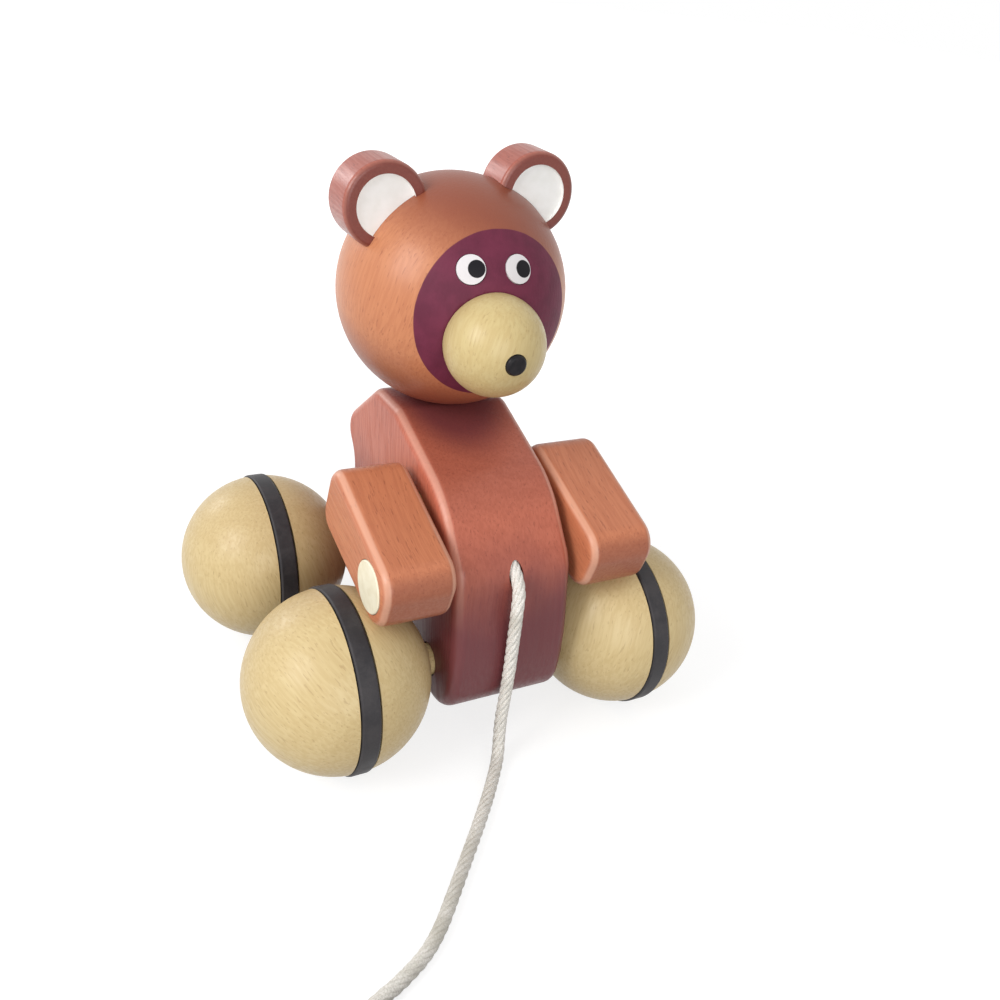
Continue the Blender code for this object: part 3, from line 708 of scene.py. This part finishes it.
# Each ball runs on a flat black rubber ring, stretched into the groove and standing just proud. The
# rubber is matt and dusty.
BAND_HALF = 2.3 * MM
BAND_INNER = 20.8 * MM
BAND_OUTER = 22.8 * MM
BAND_EDGE = 0.6 * MM
RUBBER = (0.026, 0.024, 0.027, 1)
DUSTY_RUBBER = (0.055, 0.05, 0.052, 1)
RUBBER_ROUGHNESS = (0.42, 0.7)
RUBBER_RELIEF = 0.03 * MM
rubber, tree, shader = new_finish("black_rubber", RUBBER_ROUGHNESS[0])
spot = object_spot(tree)
grime = noise(tree, spot, 160, 5, Roughness=0.7)
dusty = blend_colours(tree, between(tree, grime, 0.35, 0.75), RUBBER, DUSTY_RUBBER)
tree.links.new(dusty, shader.inputs["Base Color"])
tree.links.new(between(tree, grime, 0.3, 0.8, *RUBBER_ROUGHNESS), shader.inputs["Roughness"])
add_bump(tree, shader, noise(tree, spot, 3500, 2), RUBBER_RELIEF)
for wheel in WHEEL_GRAINS:
    shape = bmesh.new()
    first = shape.verts.new((BAND_INNER, 0, -BAND_HALF))
    last = run_on(
        shape,
        first,
        (BAND_OUTER, -BAND_HALF),
        (BAND_OUTER, BAND_HALF),
        (BAND_INNER, BAND_HALF),
    )
    shape.edges.new((last, first))
    turn_on_lathe(shape, Matrix())
    rims = [e for e in shape.edges if all(v.co.xy.length > BAND_OUTER - NEAR for v in e.verts)]
    rims = [e for e in rims if abs(e.verts[0].co.z - e.verts[1].co.z) < NEAR]
    round_over(shape, rims, BAND_EDGE, segments=4)
    bmesh.ops.transform(shape, matrix=wheel_place(wheel), verts=shape.verts[:])
    turns_with = wheel.split("_")[0] + "_wheels"
    add_piece(f"{wheel}_ring", shape, turns_with, "black_rubber", [rubber], f"{wheel}_band")

# The arms are blocks of the same beech with rounded ends, glued on the ends of one dowel that turns
# in the body. A cream-painted plug is let into the outer face of each paw.
ARM_INNER = 17.6 * MM
ARM_OUTER = 35.7 * MM
ARM_EDGE = 2.5 * MM
ARM_REACH = 21
SHOULDER_BACK = 9.8
SHOULDER_HALF = 9.6
SHOULDER_CORNER = 5.5
PAW_RADIUS = 8.4
PAW_CORNER = 6.5
ARM_SLOPE = math.radians(-162.53)
ARM_BORE_START = 2 * MM
ARM_BORE_DEPTH = 11.3 * MM
PLUG_RADIUS = 6.2 * MM
PLUG_DEPTH = 3 * MM
PLUG_PROUD = 0.3 * MM
PLUG_EDGE = 0.28 * MM
GLUE_GAP = 0.3 * MM
SEAT_GAP = 0.15 * MM
# The last colour is that of the edges: worn pale, and a painted highlight.
ARM_STAIN = (
    (0.58, 0.205, 0.10, 1),
    (0.41, 0.12, 0.057, 1),
    (0.18, 0.04, 0.024, 1),
    (0.84, 0.48, 0.34, 1),
)
CREAM = ((0.92, 0.86, 0.67, 1), (0.85, 0.78, 0.58, 1))
PAINT_RELIEF = 0.05 * MM


def brushed_paint(name, shades, scale, detail, relief, **values):
    """Paint laid on with a brush, in two close shades and with a little relief."""
    finish, tree, shader = new_finish(name, **values)
    paint = mottled(tree, object_spot(tree), shades, scale, detail)
    tree.links.new(paint["Colour"], shader.inputs["Base Color"])
    add_bump(tree, shader, paint["Height"], relief)
    return finish


along = Vector((0, math.cos(ARM_SLOPE), math.sin(ARM_SLOPE)))
up = Vector((0, along.z, -along.y))
paw = SHOULDER + along * ARM_REACH * MM
arm_corners = []
for forward, rise, radius in (
    (-SHOULDER_BACK, SHOULDER_HALF, SHOULDER_CORNER),
    (-SHOULDER_BACK, -SHOULDER_HALF, SHOULDER_CORNER),
    (ARM_REACH + PAW_RADIUS, -PAW_RADIUS, PAW_CORNER),
    (ARM_REACH + PAW_RADIUS, PAW_RADIUS, PAW_CORNER),
):
    corner = SHOULDER / MM + along * forward + up * rise
    arm_corners.append((corner.y, corner.z, radius))
cream = brushed_paint("cream_paint", CREAM, 420, 4, PAINT_RELIEF, roughness=0.35, coat=0.3)
for hand, side in (("left", 1), ("right", -1)):
    face = aimed(Vector((side * ARM_OUTER, paw.y, paw.z)), (side, 0, 0), (0, 1, 0))
    bore = aimed(Vector((side * ARM_INNER, SHOULDER.y, SHOULDER.z)), (side, 0, 0), (0, 1, 0))
    arm = carve(
        board(arm_corners, side * ARM_INNER, side * ARM_OUTER, ARM_EDGE),
        rod(GLUED_BORE, -ARM_BORE_START, ARM_BORE_DEPTH, bore),
        rod(PLUG_RADIUS + SEAT_GAP, -PLUG_DEPTH - GLUE_GAP, PLUG_DEPTH, face),
    )
    stained = lacquered_beech(
        f"stained_{hand}_arm",
        SHOULDER + Vector((side * 12, 8, -14)) * MM,
        along,
        ARM_STAIN,
        rings=110,
        contrast=0.35,
        end_grain=0.5,
        wear_and_highlight=0.5,
    )
    add_piece(f"{hand}_arm_block", arm, "arms", "stained_wood", [stained], f"{hand}_arm")
    plug = rod(PLUG_RADIUS, -PLUG_DEPTH, PLUG_PROUD)
    rims = [e for e in plug.edges if all(v.co.z > 0 for v in e.verts)]
    round_over(plug, rims, PLUG_EDGE, segments=3)
    bmesh.ops.transform(plug, matrix=face, verts=plug.verts[:])
    add_piece(f"{hand}_paw_disc", plug, "arms", "cream_paint", [cream], f"{hand}_paw_plug")

# The head is a turned beech ball on a dowel, stained like the body. Its dark mask is painted round
# the face, and flats and pockets are cut for the neck, the muzzle, the eyes and the ears' pins.
HEAD = Vector((0, 8, 104.911)) * MM
HEAD_RADIUS = 28 * MM
NECK_DROP = 27.111 * MM
HEAD_BORE_DEPTH = 16.3 * MM
MUZZLE_SEAT = 25.652 * MM
EYE_RADIUS = 3.3 * MM
EYE_POCKET_DEPTH = 3.3 * MM
EAR_PIN_BORE = 2.8 * MM
EAR_PIN_DEPTH = 8.3 * MM
POCKET_TOP = 40 * MM
EAR_TILTS = {"left": 53.5, "right": 46.5}
MASK_HALF_ANGLE = math.radians(44)
MASK_WIDER = 0.006
MASK_BLUR = 0.003
MASK_WAVER = 0.012
MASK_PAINT = ((0.150, 0.020, 0.050, 1), (0.115, 0.014, 0.038, 1))
MASK_ROUGHNESS = 0.6
HEAD_ROUGHNESS = 0.42
HEAD_COAT = 0.2
HEAD_STAIN = (
    (0.59, 0.235, 0.11, 1),
    (0.44, 0.14, 0.064, 1),
    (0.26, 0.065, 0.034, 1),
    (0.59, 0.235, 0.11, 1),
)


def looking(yaw, pitch):
    """The way that looks forward, turned to the bear's left by yaw and up by pitch, in degrees."""
    yaw = math.radians(yaw)
    pitch = math.radians(pitch)
    level = math.cos(pitch)
    return Vector((math.sin(yaw) * level, -math.cos(yaw) * level, math.sin(pitch)))


MASK = looking(1, 2.5)
MUZZLE_WAY = looking(-5.1, -6.4)
EYE_WAYS = {"left": looking(8.4, 26.9), "right": looking(-18, 26.9)}
EAR_WAYS = {}
for hand, side in (("left", 1), ("right", -1)):
    tilt = math.radians(EAR_TILTS[hand])
    EAR_WAYS[hand] = Vector((side * math.cos(tilt), 0, math.sin(tilt)))
painted = lacquered_beech(
    "stained_head",
    HEAD + Vector((11, 9, 0)) * MM,
    (0.25, -0.1, 1),
    HEAD_STAIN,
    rings=70,
    contrast=0.35,
    end_grain=0.95,
)
tree = painted.node_tree
shader = tree.nodes["Principled BSDF"]
wood_colour = shader.inputs["Base Color"].links[0].from_socket
spot = object_spot(tree)
outward = work_out_vector(tree, "NORMALIZE", work_out_vector(tree, "SUBTRACT", spot, HEAD))
towards = work_out_vector(tree, "DOT_PRODUCT", outward, MASK)
hand_drawn = noise(tree, spot, 130, 2)
wavering = work_out(tree, "MULTIPLY_ADD", hand_drawn, MASK_WAVER, towards)
rim = math.cos(MASK_HALF_ANGLE) + MASK_WIDER
covered = between(tree, wavering, rim - MASK_BLUR, rim + MASK_BLUR)
paint = mottled(tree, spot, MASK_PAINT, scale=260, detail=4)["Colour"]
coat = between(tree, covered, 0, 1, HEAD_COAT, 0)
roughness = between(tree, covered, 0, 1, HEAD_ROUGHNESS, MASK_ROUGHNESS)
tree.links.new(blend_colours(tree, covered, wood_colour, paint), shader.inputs["Base Color"])
tree.links.new(coat, shader.inputs["Coat Weight"])
tree.links.new(roughness, shader.inputs["Roughness"])
downward = aimed(HEAD, (0, 0, -1))
pockets = [
    rod(HEAD_RADIUS, NECK_DROP, 2 * HEAD_RADIUS, downward),
    rod(GLUED_BORE, NECK_DROP - HEAD_BORE_DEPTH, 2 * HEAD_RADIUS, downward),
    rod(HEAD_RADIUS, MUZZLE_SEAT, 2 * HEAD_RADIUS, aimed(HEAD, MUZZLE_WAY)),
]
for way in EYE_WAYS.values():
    floor_of_pocket = HEAD_RADIUS - EYE_POCKET_DEPTH
    pockets.append(rod(EYE_RADIUS + SEAT_GAP, floor_of_pocket, POCKET_TOP, aimed(HEAD, way)))
for way in EAR_WAYS.values():
    floor_of_bore = HEAD_RADIUS - EAR_PIN_DEPTH
    pockets.append(rod(EAR_PIN_BORE, floor_of_bore, POCKET_TOP, aimed(HEAD, way)))
head = carve(ball(HEAD_RADIUS, HEAD), *pockets)
add_piece("head_ball", head, "head_group", "stained_wood", [painted], "head")

# The muzzle is a smaller natural beech ball with a flat on its back, glued to the flat on the head.
# The nose is a short black peg with a rounded front, let into it.
MUZZLE_RADIUS = 11.7 * MM
MUZZLE_BACK = 3.3 * MM
MUZZLE_FLAT = 3.56 * MM
NOSE_WAY = looking(-3.5, -0.9)
NOSE_RADIUS = 2.4 * MM
NOSE_DEPTH = 3 * MM
NOSE_PROUD = 0.9 * MM
NOSE_EDGE = 0.85 * MM
NOSE_POCKET_DEPTH = 3.3 * MM
NOSE_POCKET_TOP = 30 * MM
MUZZLE_BEECH = (
    (0.62, 0.49, 0.235, 1),
    (0.50, 0.34, 0.135, 1),
    (0.35, 0.20, 0.08, 1),
    (0.62, 0.49, 0.235, 1),
)
BLACK = ((0.010, 0.009, 0.011, 1), (0.020, 0.017, 0.019, 1))
ENAMEL_RELIEF = 0.04 * MM
muzzle_centre = HEAD + MUZZLE_WAY * (MUZZLE_SEAT + GLUE_GAP + MUZZLE_BACK)
backward = aimed(muzzle_centre, -MUZZLE_WAY)
nose_place = aimed(muzzle_centre, NOSE_WAY)
muzzle = carve(
    ball(MUZZLE_RADIUS, muzzle_centre),
    rod(2 * MUZZLE_RADIUS, MUZZLE_FLAT, 2 * MUZZLE_RADIUS, backward),
    rod(NOSE_RADIUS + SEAT_GAP, MUZZLE_RADIUS - NOSE_POCKET_DEPTH, NOSE_POCKET_TOP, nose_place),
)
pale = lacquered_beech(
    "natural_muzzle",
    muzzle_centre + Vector((4, 0, 3)) * MM,
    (0.3, 0.2, 1),
    MUZZLE_BEECH,
    rings=110,
    contrast=0.3,
)
add_piece("muzzle_ball", muzzle, "head_group", "natural_wood", [pale], "muzzle")
black = brushed_paint("black_enamel", BLACK, 700, 2, ENAMEL_RELIEF, roughness=0.35, specular=0.15)
nose_rim = math.sqrt(MUZZLE_RADIUS**2 - NOSE_RADIUS**2)
nose = rod(NOSE_RADIUS, MUZZLE_RADIUS - NOSE_DEPTH, nose_rim + NOSE_PROUD)
round_over(nose, [e for e in nose.edges if all(v.co.z > nose_rim for v in e.verts)], NOSE_EDGE)
bmesh.ops.transform(nose, matrix=nose_place, verts=nose.verts[:])
add_piece("nose_button", nose, "head_group", "black_paint", [black], "nose")

# The eyes are white buttons let into the face and turned flush with the ball. A black pupil is
# painted off to the bear's left on each, so that the bear looks that way.
EYE_DEPTH = 3 * MM
EYE_PROUD = 0.3 * MM
EYE_STEPS = 12
PUPIL_RADIUS = 2 * MM
PUPIL_SIDEWAYS = 1.2 * MM
PUPIL_FORWARD = 0.2 * MM
PUPIL_BLUR = (-0.08 * MM, 0.04 * MM)
PUPIL_RELIEF = 0.03 * MM
PUPIL_BLACK = (0.010, 0.009, 0.012, 1)
IVORY = ((0.79, 0.76, 0.77, 1), (0.74, 0.70, 0.71, 1))
front = HEAD_RADIUS + EYE_PROUD
for hand, way in EYE_WAYS.items():
    place = aimed(HEAD, way)
    white, tree, shader = new_finish(f"{hand}_eye_paint", roughness=0.35, specular=0.15)
    spot = object_spot(tree)
    pupil = place @ Vector((PUPIL_SIDEWAYS, 0, HEAD_RADIUS + PUPIL_FORWARD))
    apart = work_out_vector(tree, "DISTANCE", spot, pupil)
    fade = [PUPIL_RADIUS + blur for blur in PUPIL_BLUR]
    inside = between(tree, apart, *fade, 1, 0)
    ivory = blend_colours(tree, noise(tree, spot, 300, 2), *IVORY)
    eye_colour = blend_colours(tree, inside, ivory, PUPIL_BLACK)
    tree.links.new(eye_colour, shader.inputs["Base Color"])
    add_bump(tree, shader, inside, PUPIL_RELIEF)
    eye = bmesh.new()
    dome = math.asin(EYE_RADIUS / front)
    last = curve_on(eye, eye.verts.new((0, 0, front)), dome, steps=EYE_STEPS)
    run_on(eye, last, (EYE_RADIUS, HEAD_RADIUS - EYE_DEPTH), (0, HEAD_RADIUS - EYE_DEPTH))
    turn_on_lathe(eye, place)
    add_piece(f"{hand}_eye_button", eye, "head_group", "white_paint", [white], f"{hand}_eye")

# The ears are turned discs, hollowed in front and painted white there, and scooped below to sit on
# the ball, each with a short hidden pin. Their wood is stained darker than the head.
EAR_RADIUS = 10.1 * MM
EAR_HALF = 5.5 * MM
EAR_EDGE = 1.3 * MM
EAR_HOLLOW_RADIUS = 7.2 * MM
EAR_HOLLOW_DEPTH = 0.8 * MM
EAR_REACH = 29.9 * MM
EAR_SCOOP_GAP = 0.05 * MM
EAR_BORE_LOW = HEAD_RADIUS - 8 * MM
EAR_BORE_HIGH = HEAD_RADIUS + 5.3 * MM
# The last colour is that of the edges: worn pale, and a painted highlight.
EAR_STAIN = (
    (0.38, 0.09, 0.055, 1),
    (0.25, 0.05, 0.034, 1),
    (0.13, 0.02, 0.013, 1),
    (0.70, 0.33, 0.25, 1),
)
EAR_WHITE = ((0.95, 0.95, 0.93, 1), (0.90, 0.90, 0.87, 1))
whitened = brushed_paint("ear_white", EAR_WHITE, 350, 4, PAINT_RELIEF, roughness=0.4, coat=0.25)
hollow_floor = EAR_HALF - EAR_HOLLOW_DEPTH
for hand, way in EAR_WAYS.items():
    middle = HEAD + way * EAR_REACH
    place = aimed(middle, (0, -1, 0))
    disc = rod(EAR_RADIUS, -EAR_HALF, EAR_HALF, place)
    rims = [e for e in disc.edges if abs(e.verts[0].co.y - e.verts[1].co.y) < NEAR]
    round_over(disc, rims, EAR_EDGE)
    ear = carve(
        disc,
        rod(EAR_HOLLOW_RADIUS, hollow_floor, 2 * EAR_HALF, place),
        ball(HEAD_RADIUS + EAR_SCOOP_GAP, HEAD),
        rod(EAR_PIN_BORE, EAR_BORE_LOW, EAR_BORE_HIGH, aimed(HEAD, way)),
    )
    for face in ear.faces:
        local = place.inverted() @ face.calc_center_median()
        deep = hollow_floor - NEAR < local.z < EAR_HALF - NEAR
        face.material_index = int(deep and local.xy.length < EAR_HOLLOW_RADIUS + NEAR / 10)
    stained = lacquered_beech(
        f"stained_{hand}_ear",
        middle,
        (0, 1, 0),
        EAR_STAIN,
        rings=140,
        contrast=0.4,
        end_grain=0.7,
        wear_and_highlight=0.15,
        coat=0.5,
        faces=(0, 1, 0),
    )
    finishes = [stained, whitened]
    add_piece(f"{hand}_ear_disc", ear, "head_group", "stained_wood", finishes, f"{hand}_ear")

# Plain beech dowels join the wheels, the arms, the neck and the ears. They are cut to length, glued
# into their bores and left without lacquer.
DOWEL_PITH = Vector((0.02, 0.01, 0))
dowel = lacquered_beech(
    "bare_dowel",
    DOWEL_PITH,
    (1, 0.1, 0.1),
    BEECH,
    rings=200,
    contrast=0.5,
    end_grain=0.3,
    coat=0,
)
for name in ("front_axle", "rear_axle", "arm_dowel", "neck_dowel", "left_ear_pin", "right_ear_pin"):
    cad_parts[name].material_slots[0].material = dowel

# A natural beech bead on the cord's end fits the hand, and a knot keeps it on. The cord runs
# through its bore, and the knot is whipped round with yarn and ends in a short tuft.
BEAD_BORE = 2 * MM
KNOT_RADIUS = 2.8 * MM
KNOT_LENGTH = 8.6 * MM
KNOT_GAP = 0.6 * MM
WHIPPING = 0.62 * MM
WHIPPING_TURNS = 4
WHIPPING_STEPS = 8
TUFT_NECK = 1.5 * MM
TUFT_RADIUS = 1.75 * MM
TUFT_LENGTH = 3.4 * MM
TUFT_CROWN = 0.2 * MM
bead_place = aimed(bead_centre, bead_axis, (0, 0, 1))
bead = carve(
    ball(BEAD_RADIUS, bead_centre),
    rod(BEAD_BORE, -2 * BEAD_RADIUS, 2 * BEAD_RADIUS, bead_place),
)
bead_beech = lacquered_beech(
    "natural_bead",
    bead_centre + Vector((3, 2, 0)) * MM,
    bead_axis,
    BEECH,
    rings=110,
    contrast=0.4,
    end_grain=0.15,
)
bead_piece = add_piece("cord_bead", bead, "trunk", "natural_wood", [bead_beech], "pull_bead")
knot_low = BEAD_RADIUS + KNOT_GAP
knot_high = knot_low + KNOT_LENGTH
knot_core = KNOT_RADIUS - WHIPPING
knot = bmesh.new()
last = run_on(knot, knot.verts.new((0, 0, knot_low)), (knot_core, knot_low))
for turn in range(WHIPPING_TURNS):
    ridge = (knot_core, knot_low + WHIPPING * (2 * turn + 1))
    last = curve_on(knot, last, -math.pi, ridge, WHIPPING_STEPS)
run_on(
    knot,
    last,
    (TUFT_NECK, knot_high - TUFT_LENGTH),
    (TUFT_RADIUS, knot_high),
    (0, knot_high + TUFT_CROWN),
)
turn_on_lathe(knot, bead_place)
knot_piece = add_piece("whipped_knot", knot, "trunk", "cotton_cord", [cotton], "cord_knot")

# A pale sheet of paper lies under the toy. It looks white to the camera and in the lacquer, and it
# keeps the toy's shadow.
PAPER = (0.34, 0.34, 0.34, 1)
PAPER_HALF = 3
WHITE = (1, 1, 1, 1)
GLOW_REACH = (0.12, 0.4)
GLOW_UNDER_TOY = 0.77


def seen_directly(tree):
    """1 for what is seen straight on, in a gloss or through something clear, and 0 for light."""
    path = place_node(tree, "LightPath", {}).outputs
    glossy = work_out(tree, "MAXIMUM", path["Is Camera Ray"], path["Is Glossy Ray"])
    return work_out(tree, "MAXIMUM", glossy, path["Is Transmission Ray"])


sheet = bmesh.new()
bmesh.ops.create_grid(sheet, x_segments=1, y_segments=1, size=PAPER_HALF)
floor = bpy.data.objects.new("floor", bpy.data.meshes.new("floor"))
sheet.to_mesh(floor.data)
sheet.free()
bpy.context.scene.collection.objects.link(floor)
paper, tree, shader = new_finish("paper", roughness=0.9)
shader.inputs["Base Color"].default_value = PAPER
shader.inputs["Emission Color"].default_value = WHITE
away = work_out_vector(tree, "LENGTH", object_spot(tree))
glow = between(tree, away, *GLOW_REACH, GLOW_UNDER_TOY, 1)
shown = work_out(tree, "MULTIPLY", glow, seen_directly(tree))
tree.links.new(shown, shader.inputs["Emission Strength"])
floor.data.materials.append(paper)

# The light is that of a plain studio: a soft window at the upper left, a broad fill near the
# camera, a small lamp behind that edges the toy, and an even white room.
LAMP_AIM = Vector((0, 0, 70)) * MM
LAMPS = {
    "window": ((-0.85, -0.18, 0.6), 0.5, 6.1),
    "fill": ((-0.3, -1.12, 0.36), 0.8, 5.2),
    "rim": ((-0.45, 0.86, 0.43), 0.3, 1.6),
}
ROOM_LIGHT = 0.55
for name, (place, width, watts) in LAMPS.items():
    lamp = bpy.data.objects.new(name, bpy.data.lights.new(name, "AREA"))
    lamp.data.size = width
    lamp.data.energy = watts
    lamp.location = place
    lamp.rotation_euler = (LAMP_AIM - Vector(place)).to_track_quat("-Z", "Y").to_euler()
    bpy.context.scene.collection.objects.link(lamp)
world = bpy.data.worlds.new("studio")
world.use_nodes = True
tree = world.node_tree
room = tree.nodes["Background"]
room.inputs["Color"].default_value = WHITE
tree.links.new(between(tree, seen_directly(tree), 0, 1, ROOM_LIGHT, 1), room.inputs["Strength"])
bpy.context.scene.world = world
bpy.context.scene.view_settings.view_transform = "Standard"
